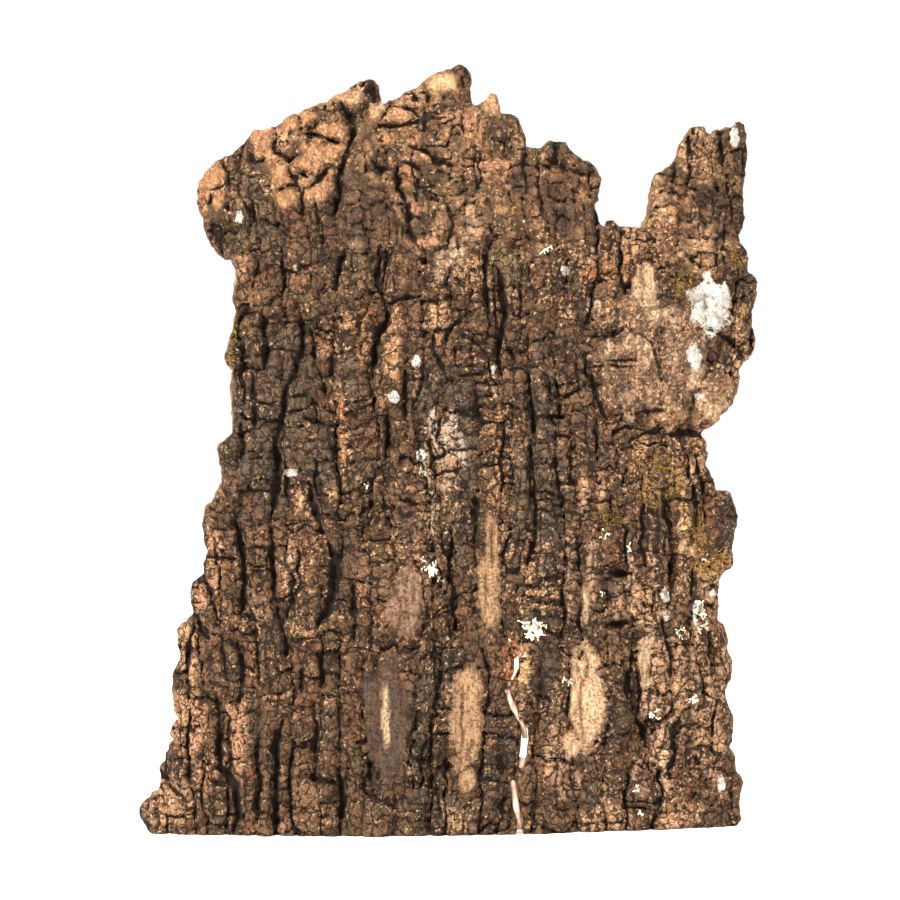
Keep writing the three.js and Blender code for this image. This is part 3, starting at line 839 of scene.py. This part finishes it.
grains = add(tree, "TexVoronoi", [("Vector", frayed)], [("Scale", 1.9)])
grain_own = add(tree, "SeparateColor", [(0, grains.outputs["Color"])])

# Plates: their own tone, darker and lighter in fine grit, with red-brown where the cork is thin.
light = add(tree, "MapRange", [("Value", grit)],
            [("From Min", 0.32), ("From Max", 0.7), ("To Min", 0.1), ("To Max", 2.0)])
scale_light = add(tree, "Math", [(0, scale_own.outputs[1]), (2, light)], [(1, 0.6)],
                  operation="MULTIPLY_ADD")
grain_light = add(tree, "Math", [(0, grain_own), (2, scale_light)], [(1, 0.7)], operation="MULTIPLY_ADD")
thin_cork = add(tree, "MapRange", [("Value", jag)],
                [("From Min", 0.5), ("From Max", 0.66), ("To Min", 0.0), ("To Max", 0.35)])
warmed = add(tree, "Mix", [(0, thin_cork), (6, seen["tone"])], [(7, colour("#75492c"))], data_type="RGBA")
tone_lit = add(tree, "VectorMath", [(0, warmed.outputs[2]), (3, grain_light)], operation="SCALE")
# Worn tan shows as flecks, most where the plates are thin and along the lips of the joints.
# Along the lips the flecks are partly wear and partly a painted highlight on the plates' edges.
lip_wear_and_highlight = add(tree, "MapRange", [("Value", seen["joint"])],
           [("From Min", 1.6), ("From Max", 0.2), ("To Min", 0.0), ("To Max", 0.05)])
near_lips_wear_and_highlight = add(tree, "Math", [(0, jag), (1, lip_wear_and_highlight)], operation="ADD")
clusters = add(tree, "Math", [(0, mottle), (2, near_lips_wear_and_highlight)], [(1, 0.5)], operation="MULTIPLY_ADD")
freshened = add(tree, "Math", [(0, seen["fresh"]), (2, clusters)], [(1, 0.22)], operation="MULTIPLY_ADD")
chips = add(tree, "Math", [(0, seen["chip"]), (2, freshened)], [(1, 0.1)], operation="MULTIPLY_ADD")
scaly = add(tree, "Math", [(0, scale_own), (2, chips)], [(1, 0.26)], operation="MULTIPLY_ADD")
tan_share = add(tree, "MapRange", [("Value", scaly)],
                [("From Min", 1.1), ("From Max", 1.17), ("To Min", 0.0), ("To Max", 0.9)])
tan_tone = add(tree, "ValToRGB", [("Fac", grit)],
               stops=[(0.33, "#6c4427"), (0.68, "#ffdfb4"), (0.52, "#b37d52")])
tan = add(tree, "Mix", [(0, tan_share), (6, tone_lit), (7, tan_tone)], data_type="RGBA")
# Fibres on the worn spots, whose edges are ragged.
fibre_light = add(tree, "MapRange", [("Value", fibre)],
                  [("From Min", 0.34), ("From Max", 0.6), ("To Min", 0.68), ("To Max", 1.15)])
worn_grit = add(tree, "MapRange", [("Value", grit)],
                [("From Min", 0.4), ("From Max", 0.53), ("To Min", 0.35), ("To Max", 1.12)])
fibre_grit = add(tree, "Math", [(0, fibre_light), (1, worn_grit)], operation="MULTIPLY")
fibrous = add(tree, "VectorMath", [(0, seen["tone"]), (3, fibre_grit)], operation="SCALE")
worn_edge = add(tree, "Math", [(0, jag), (2, seen["worn"])], [(1, 1.9)], operation="MULTIPLY_ADD")
worn_share = add(tree, "MapRange", [("Value", worn_edge)],
                 [("From Min", 1.38), ("From Max", 1.5), ("To Min", 0.0), ("To Max", 1.0)])
with_worn = add(tree, "Mix", [(0, worn_share), (6, tan.outputs[2]), (7, fibrous)], data_type="RGBA")
# Moss dust.
moss_edge = add(tree, "Math", [(0, seen["moss"]), (1, mottle)], operation="MULTIPLY")
moss_share = add(tree, "MapRange", [("Value", moss_edge)],
                 [("From Min", 0.36), ("From Max", 0.48), ("To Min", 0.0), ("To Max", 0.4)])
with_moss = add(tree, "Mix", [(0, moss_share), (6, with_worn.outputs[2])], [(7, colour("#57421b"))],
                data_type="RGBA")
# Dirt and painted shade in the joints: the cracks are darkened, and in places a little past their lips.
dirt_and_shade_line = add(tree, "Math", [(0, jag), (2, seen["joint"])], [(1, 2.4)], operation="MULTIPLY_ADD")
dirt_and_shade = add(tree, "MapRange", [("Value", dirt_and_shade_line)],
           [("From Min", 1.55), ("From Max", 1.1), ("To Min", 0.0), ("To Max", 0.95)])
with_dirt_and_shade = add(tree, "Mix", [(0, dirt_and_shade), (6, with_moss.outputs[2])], [(7, colour(JOINT_DARK))],
                data_type="RGBA")
small_line = add(tree, "Math", [(0, jag), (2, seen["small"])], [(1, 1.6)], operation="MULTIPLY_ADD")
small_dark = add(tree, "MapRange", [("Value", small_line)],
                 [("From Min", 1.15), ("From Max", 0.85), ("To Min", 0.0), ("To Max", 0.92)])
net_open = add(tree, "Math", [(0, mottle), (2, net)], [(1, 0.35)], operation="MULTIPLY_ADD")
fine_line = add(tree, "MapRange", [("Value", net_open)],
                [("From Min", 0.24), ("From Max", 0.2), ("To Min", 0.0), ("To Max", 0.92)])
all_lines = add(tree, "Math", [(0, fine_line), (1, small_dark)], operation="MAXIMUM")
fine_share = add(tree, "Math", [(0, all_lines), (1, seen["plated"])], operation="MULTIPLY")
with_lines = add(tree, "Mix", [(0, fine_share), (6, with_dirt_and_shade.outputs[2])], [(7, colour(JOINT_DARK))],
                 data_type="RGBA")
# White crust, broken up by the grit.
crust_edge = add(tree, "Math", [(0, seen["crust"]), (1, grit)], operation="MULTIPLY")
crust_share = add(tree, "MapRange", [("Value", crust_edge)],
                  [("From Min", 0.32), ("From Max", 0.42), ("To Min", 0.0), ("To Max", 0.95)])
with_crust = add(tree, "Mix", [(0, crust_share), (6, with_lines.outputs[2])], [(7, colour("#e8ddce"))],
                 data_type="RGBA")
# The broken rim and the inner face.
year_mm = add(tree, "Mapping", [("Vector", place)], [("Scale", (160, 1300, 90))])
years = add(tree, "TexNoise", [("Vector", year_mm)],
            [("Scale", 0.5), ("Detail", 5.0), ("Roughness", 0.65)])
layered = add(tree, "Math", [(0, seen["layer"]), (2, years)], [(1, -0.35)], operation="MULTIPLY_ADD")
wall_tone = add(tree, "ValToRGB", [("Fac", layered)],
                stops=[(0.1, "#4a3322"), (0.5, "#d3a87d"), (0.3, "#8d6444")])
with_wall = add(tree, "Mix", [(0, seen["wall"]), (6, with_crust.outputs[2]), (7, wall_tone)],
                data_type="RGBA")
inner_tone = add(tree, "ValToRGB", [("Fac", fibre)],
                 stops=[(0.3, "#5a3d29"), (0.7, "#9c7450")])
with_inside = add(tree, "Mix", [(0, seen["inside"]), (6, with_wall.outputs[2]), (7, inner_tone)],
                  data_type="RGBA")
finished = add(tree, "Mix", [(0, seen["split"]), (6, with_inside.outputs[2])], [(7, colour("#c9956f"))],
               data_type="RGBA")
tree.links.new(finished.outputs[2], shader.inputs["Base Color"])
shader.inputs["Roughness"].default_value = 0.9
shader.inputs["Specular IOR Level"].default_value = 0.25
scale_rise = add(tree, "Math", [(0, scale_own.outputs[2]), (2, grit)], [(1, 0.3)],
                 operation="MULTIPLY_ADD")
net_dip = add(tree, "Math", [(0, fine_share), (2, scale_rise)], [(1, -0.4)], operation="MULTIPLY_ADD")
bumps = add(tree, "Bump", [("Height", net_dip)], [("Strength", 1.0), ("Distance", 0.002)])
grain_bump = add(tree, "Bump", [("Height", fibre), ("Normal", bumps)],
                 [("Strength", 0.6), ("Distance", 0.0006)])
tree.links.new(grain_bump.outputs[0], shader.inputs["Normal"])
bark.data.materials.clear()
bark.data.materials.append(bark_material)
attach(bark, "root")
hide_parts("bark")

skin_corners = [v.co[:] for v in bark.data.vertices]
bark_skin = BVHTree.FromPolygons(skin_corners, [p.vertices[:] for p in bark.data.polygons])


def on_bark(across, up, lift=0.0):
    """The place on the outer face at a distance from the left edge and a height, or None off the bark."""
    x, z = BARK_LOW[0] + across * MM, BARK_LOW[2] + up * MM
    spot = bark_skin.ray_cast(Vector((x, -1, z)), Vector((0, 1, 0)))[0]
    return spot + Vector((0, -lift * MM, 0)) if spot else None


# Lining of the split. The pale innermost layer tore less than the corky plates did, so it still shows
# behind most of the gap. It is a soft cord of fibres pressed between the two walls, in four runs.
LINING_RUNS = [
    # (sunk below the plates, thickness, [(distance from the left edge, height), ...]) in mm
    (2.6, 1.2, [(147.8, 80.5), (148.3, 78.5), (150.2, 73), (151.7, 68), (151.3, 64), (148.7, 60)]),
    (3.5, 2.4, [(148.8, 61), (147.9, 56), (149.3, 51), (152.3, 46), (154.3, 41), (154.4, 37.5)]),
    (3.5, 2.8, [(153.5, 30), (152.8, 27), (151.6, 22.5)]),
    (3.5, 2.8, [(149.2, 21.5), (149.9, 15), (150.6, 10), (151.7, 5), (151.5, 1.6)]),
]


def tubes(name, radius, bevel):
    """A curve for round tubes, with rounder sections the larger the bevel."""
    curve = bpy.data.curves.new(name, "CURVE")
    curve.dimensions = "3D"
    curve.bevel_depth = radius
    curve.bevel_resolution = bevel
    curve.use_fill_caps = True
    return curve


def add_run(curve, course, widths):
    """One tube through the course, with a width for each point as a share of the curve's radius."""
    run = curve.splines.new("NURBS")
    run.points.add(len(course) - 1)
    run.order_u = 3
    run.use_endpoint_u = True
    for point, spot, width in zip(run.points, course, widths):
        point.co = (*spot, 1)
        point.radius = width


def solid_tubes(curve, name):
    """The curve's tubes as one smooth piece without a material."""
    source = placed(name + "_source", curve)
    graph = bpy.context.evaluated_depsgraph_get()
    mesh = bpy.data.meshes.new_from_object(source.evaluated_get(graph))
    bpy.data.objects.remove(source)
    mesh.materials.clear()
    shade_smooth(mesh)
    return placed(name, mesh)


lining_curve = tubes("split_lining", 1 * MM, 2)
for below, thick_mm, course in LINING_RUNS:
    spots_along = []
    for across_mm, up_mm in course:
        sides = [on_bark(across_mm - 4, up_mm), on_bark(across_mm + 4, up_mm)]
        level = sum(side.y for side in sides) / 2
        spots_along.append((BARK_LOW[0] + across_mm * MM, level + below * MM, BARK_LOW[2] + up_mm * MM))
    add_run(lining_curve, spots_along, [thick_mm / 2] * len(course))
lining = solid_tubes(lining_curve, "split_lining")
# Raw, pale inner bark: pinkish and matt.
lining_material, tree, shader = new_material("pale inner bark")
place = add(tree, "TexCoord").outputs["Object"]
grain_mm = add(tree, "Mapping", [("Vector", place)], [("Scale", (1000, 1000, 200))])
fibre = add(tree, "TexNoise", [("Vector", grain_mm)], [("Scale", 1.2), ("Detail", 4.0)])
lining_tone = add(tree, "ValToRGB", [("Fac", fibre)],
                  stops=[(0.3, "#b9866a"), (0.6, "#ecc9b0")])
tree.links.new(lining_tone.outputs[0], shader.inputs["Base Color"])
shader.inputs["Roughness"].default_value = 0.8
lining.data.materials.append(lining_material)
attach(lining, "root")


# Lichen. Pale, leafy lobes that fork as they creep out over the bark and lift at their tips. Each lobe is a
# row of small flattened beads that are then fused into one skin.
LICHENS = {
    # piece: (CAD node, (distance from the left edge, height), reach across, reach up, arms, seed)
    "lichen_rosette_lobes": ("lichen_rosette", (157.6, 81.0), 5.6, 5.2, 34, 3),
    "lichen_middle_lobes": ("lichen_tuft_middle", (118.9, 105.2), 2.4, 3.4, 14, 5),
    "lichen_right_lobes": ("lichen_tuft_right", (225.6, 87.0), 2.8, 5.2, 14, 8),
}
# Crumbs of the same lichen: (distance from the left edge, height, reach).
CRUMBS = [
    (115.2, 105.6, 0.9), (171.5, 60.5, 1.4), (221.5, 51.5, 1.5), (206, 46, 1.5), (217, 79, 1.6),
    (226, 79.5, 1.4), (199, 17, 1.3), (199.5, 7, 1.1), (165, 231, 1.5), (116, 109, 0.9),
    (121.5, 101.5, 1.0), (93.6, 138.6, 1.0), (115, 151, 1.6), (115.4, 143.6, 1.2), (187, 118, 1.2),
    (197, 112, 1.2), (186, 95, 1.0), (228, 107, 1.1),
]
BEAD_STEP = 0.42  # mm


def creep(shape, draw, start, heading, length, wide, tall, lift=0.2):
    """One lobe: beads along a wandering line, with side lobes, rising towards its tip."""
    across, up = start
    count = max(2, int(length / BEAD_STEP))
    for bead in range(count):
        share = bead / count
        heading += draw.normal(0, 0.28)
        across += BEAD_STEP * math.cos(heading) * wide
        up += BEAD_STEP * math.sin(heading) * tall
        height = lift + 1.3 * share**2
        spot = on_bark(across, up, height)
        if spot is None:
            return
        size = (0.24 + 0.16 * draw.random() + 0.1 * share) * MM
        flat = Matrix.Diagonal((1, 0.55, 1, 1))
        tilt = Matrix.Rotation(draw.normal(0, 0.5), 4, "X") @ Matrix.Rotation(draw.normal(0, 0.5), 4, "Z")
        settled = Matrix.Translation(spot) @ tilt @ flat
        bmesh.ops.create_icosphere(shape, subdivisions=1, radius=size, matrix=settled)
        if share > 0.35 and length > 1.6 and draw.random() < 0.2:
            fork = heading + draw.choice([-1, 1]) * draw.uniform(0.7, 1.2)
            creep(shape, draw, (across, up), fork, length * 0.4, wide, tall, height)


def fused(shape, name):
    """The beads as one closed skin."""
    mesh = bpy.data.meshes.new(name)
    shape.to_mesh(mesh)
    shape.free()
    piece = placed(name, mesh)
    with_modifier(piece, "REMESH", mode="VOXEL", voxel_size=0.14 * MM, adaptivity=0)
    shade_smooth(piece.data)
    return piece


# Lichen is dry and papery: cream, mottled with patches a little greener and darker.
lichen_material, tree, shader = new_material("dry lichen")
place = add(tree, "TexCoord").outputs["Object"]
in_mm = add(tree, "Mapping", [("Vector", place)], [("Scale", (1000, 1000, 1000))])
fold = add(tree, "TexNoise", [("Vector", in_mm)], [("Scale", 0.8), ("Detail", 4.0), ("Roughness", 0.6)])
lichen_tone = add(tree, "ValToRGB", [("Fac", fold)],
                  stops=[(0.34, "#b3a470"), (0.56, "#f2ead2")])
tree.links.new(lichen_tone.outputs[0], shader.inputs["Base Color"])
shader.inputs["Roughness"].default_value = 0.85
shader.inputs["Specular IOR Level"].default_value = 0.3
paper_grain = add(tree, "TexNoise", [("Vector", in_mm)], [("Scale", 5.0), ("Detail", 3.0)])
wrinkle = add(tree, "Bump", [("Height", paper_grain)], [("Strength", 0.5), ("Distance", 0.0002)])
tree.links.new(wrinkle.outputs[0], shader.inputs["Normal"])

for piece_name, (node, middle, wide, tall, arms, seed) in LICHENS.items():
    draw = np.random.default_rng(seed)
    beads = bmesh.new()
    for arm in range(arms):
        heading = 2 * math.pi * (arm + 0.6 * draw.random()) / arms
        reach = draw.uniform(0.55, 1.0)
        creep(beads, draw, middle, heading, 5 * reach, wide / 5, tall / 5)
    lobes = fused(beads, piece_name)
    lobes.data.materials.append(lichen_material)
    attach(lobes, "root")
    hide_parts(node)

draw = np.random.default_rng(31)
beads = bmesh.new()
for across, up, reach in CRUMBS:
    for _ in range(int(5 * reach)):
        start = (across + draw.normal(0, 0.4 * reach), up + draw.normal(0, 0.5 * reach))
        creep(beads, draw, start, draw.uniform(0, 2 * math.pi), 1.2 * reach, 1, 1, 0.1)
crumbs = fused(beads, "lichen_crumbs")
crumbs.data.materials.append(lichen_material)
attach(crumbs, "root")


# Moss. Dry golden-green strands a few millimetres long that hang and curl over each other and root in the
# cracks. Each strand is a fine tapering tube that creeps over the bark and lifts off it.
MOSSES = {
    # piece: (CAD nodes, strands, length, seed, [(distance from the left edge, height, spreads), ...])
    "moss_strands_burl": (["moss_under_burl"], 130, 5.0, 13,
                          [(205, 144, 4, 3), (212, 143, 3, 3), (217, 135, 2, 2.4), (189, 125, 2.4, 3.4),
                           (204, 134, 2.4, 3)]),
    "moss_strands_edge": (["moss_tuft_right"], 150, 4.5, 17,
                          [(228, 103.5, 3, 1.6), (234, 105.5, 3, 1.8), (226, 112, 2.5, 5),
                           (224, 122, 3, 4)]),
    "moss_strands_left": ([], 90, 2.6, 19, [(39.5, 194, 1.6, 4), (41, 201, 1.2, 3)]),
    "moss_strands_horn": ([], 100, 2.8, 23,
                          [(218, 215, 1, 3), (223, 218, 1, 4), (245, 204.5, 1, 1.5), (242, 227, 0.8, 3)]),
}
moss_material, tree, shader = new_material("dry moss")
place = add(tree, "TexCoord").outputs["Object"]
in_mm = add(tree, "Mapping", [("Vector", place)], [("Scale", (1000, 1000, 1000))])
strand_noise = add(tree, "TexNoise", [("Vector", in_mm)], [("Scale", 0.7), ("Detail", 3.0)])
moss_tone = add(tree, "ValToRGB", [("Fac", strand_noise)],
                stops=[(0.32, "#4a3a18"), (0.66, "#d09f48"), (0.5, "#8c6826")])
tree.links.new(moss_tone.outputs[0], shader.inputs["Base Color"])
shader.inputs["Roughness"].default_value = 0.7
shader.inputs["Specular IOR Level"].default_value = 0.3

for piece_name, (nodes, strands, length, seed, tufts) in MOSSES.items():
    draw = np.random.default_rng(seed)
    strands_curve = tubes(piece_name, 0.11 * MM, 0)
    strands_curve.resolution_u = 2
    for strand in range(strands):
        tuft = tufts[strand % len(tufts)]
        across, up = draw.normal(tuft[0], tuft[2]), draw.normal(tuft[1], tuft[3])
        heading = draw.uniform(0, 2 * math.pi)
        lift = 0.0
        line = []
        for _ in range(6):
            spot = on_bark(across, up, lift)
            if spot is None:
                break
            line.append(spot)
            heading += draw.normal(0, 0.6)
            across += length / 6 * math.cos(heading)
            up += length / 6 * math.sin(heading) - 0.15
            lift = min(lift + draw.uniform(0.1, 0.6), 2.0)
        steps = [(b - a).length for a, b in zip(line[:-1], line[1:])]
        if len(line) < 4 or max(steps) > 0.5 * length * MM:
            continue
        add_run(strands_curve, line, [1.15 - number / len(line) for number in range(len(line))])
    moss = solid_tubes(strands_curve, piece_name)
    moss.data.materials.append(moss_material)
    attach(moss, "root")
    if nodes:
        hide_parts(*nodes)


# Floor: pale and plain, wide enough to fill the view.
floor_mesh = bpy.data.meshes.new("floor")
disc = bmesh.new()
bmesh.ops.create_circle(disc, cap_ends=True, radius=6.0, segments=64)
disc.to_mesh(floor_mesh)
disc.free()
floor = placed("floor", floor_mesh)
floor_material, _, card = new_material("white card")
card.inputs["Base Color"].default_value = (0.85, 0.85, 0.85, 1)
card.inputs["Roughness"].default_value = 0.9
card.inputs["Emission Color"].default_value = (1, 1, 1, 1)
card.inputs["Emission Strength"].default_value = 0.5
floor_mesh.materials.append(floor_material)


# Light: a soft window above and to the left of the camera, a weaker one on the right, and a pale room.
def soft_light(name, place, target, size, power):
    """A square lamp turned towards its target, with its size in metres and its power in watts."""
    lamp = bpy.data.lights.new(name, "AREA")
    lamp.size = size
    lamp.energy = power
    holder = placed(name, lamp)
    holder.location = place
    holder.rotation_euler = (Vector(target) - Vector(place)).to_track_quat("-Z", "Y").to_euler()


soft_light("key", (-1.3, -1.5, 1.9), (0, 0, 0.15), 0.5, 135)
soft_light("fill", (1.5, -1.5, 0.7), (0, 0, 0.15), 1.2, 22)
soft_light("back", (0.4, 1.8, 1.6), (0, 0, 0.15), 1.2, 40)
world = bpy.data.worlds.new("room")
bpy.context.scene.world = world
world.use_nodes = True
room = world.node_tree
paper = add(room, "Background", (), [("Color", (1, 1, 1, 1)), ("Strength", 1.05)])
gloom = add(room, "Background", (), [("Color", (1, 1, 1, 1)), ("Strength", 0.85)])
ray = add(room, "LightPath")
both = add(room, "MixShader", [(0, ray.outputs["Is Camera Ray"]), (1, gloom), (2, paper)])
room.links.new(both.outputs[0], room.nodes["World Output"].inputs["Surface"])
bpy.context.scene.view_settings.view_transform = "Standard"

# Camera: level, in front of the outer face, turned a little so that the foot rises to the right.
CAMERA_AWAY = 1.4  # m
FRAME_WIDTH = 0.36  # m, at the bark
TURN = math.radians(0.874)
SENSOR = 36  # mm
camera = placed("camera", bpy.data.cameras.new("camera"))
camera.data.sensor_width = SENSOR
camera.data.lens = SENSOR * CAMERA_AWAY / FRAME_WIDTH
camera.location = (0.0012, -CAMERA_AWAY, 0.152)
camera.rotation_euler = (Matrix.Rotation(math.pi / 2, 4, "X") @ Matrix.Rotation(-TURN, 4, "Z")).to_euler()
bpy.context.scene.camera = camera
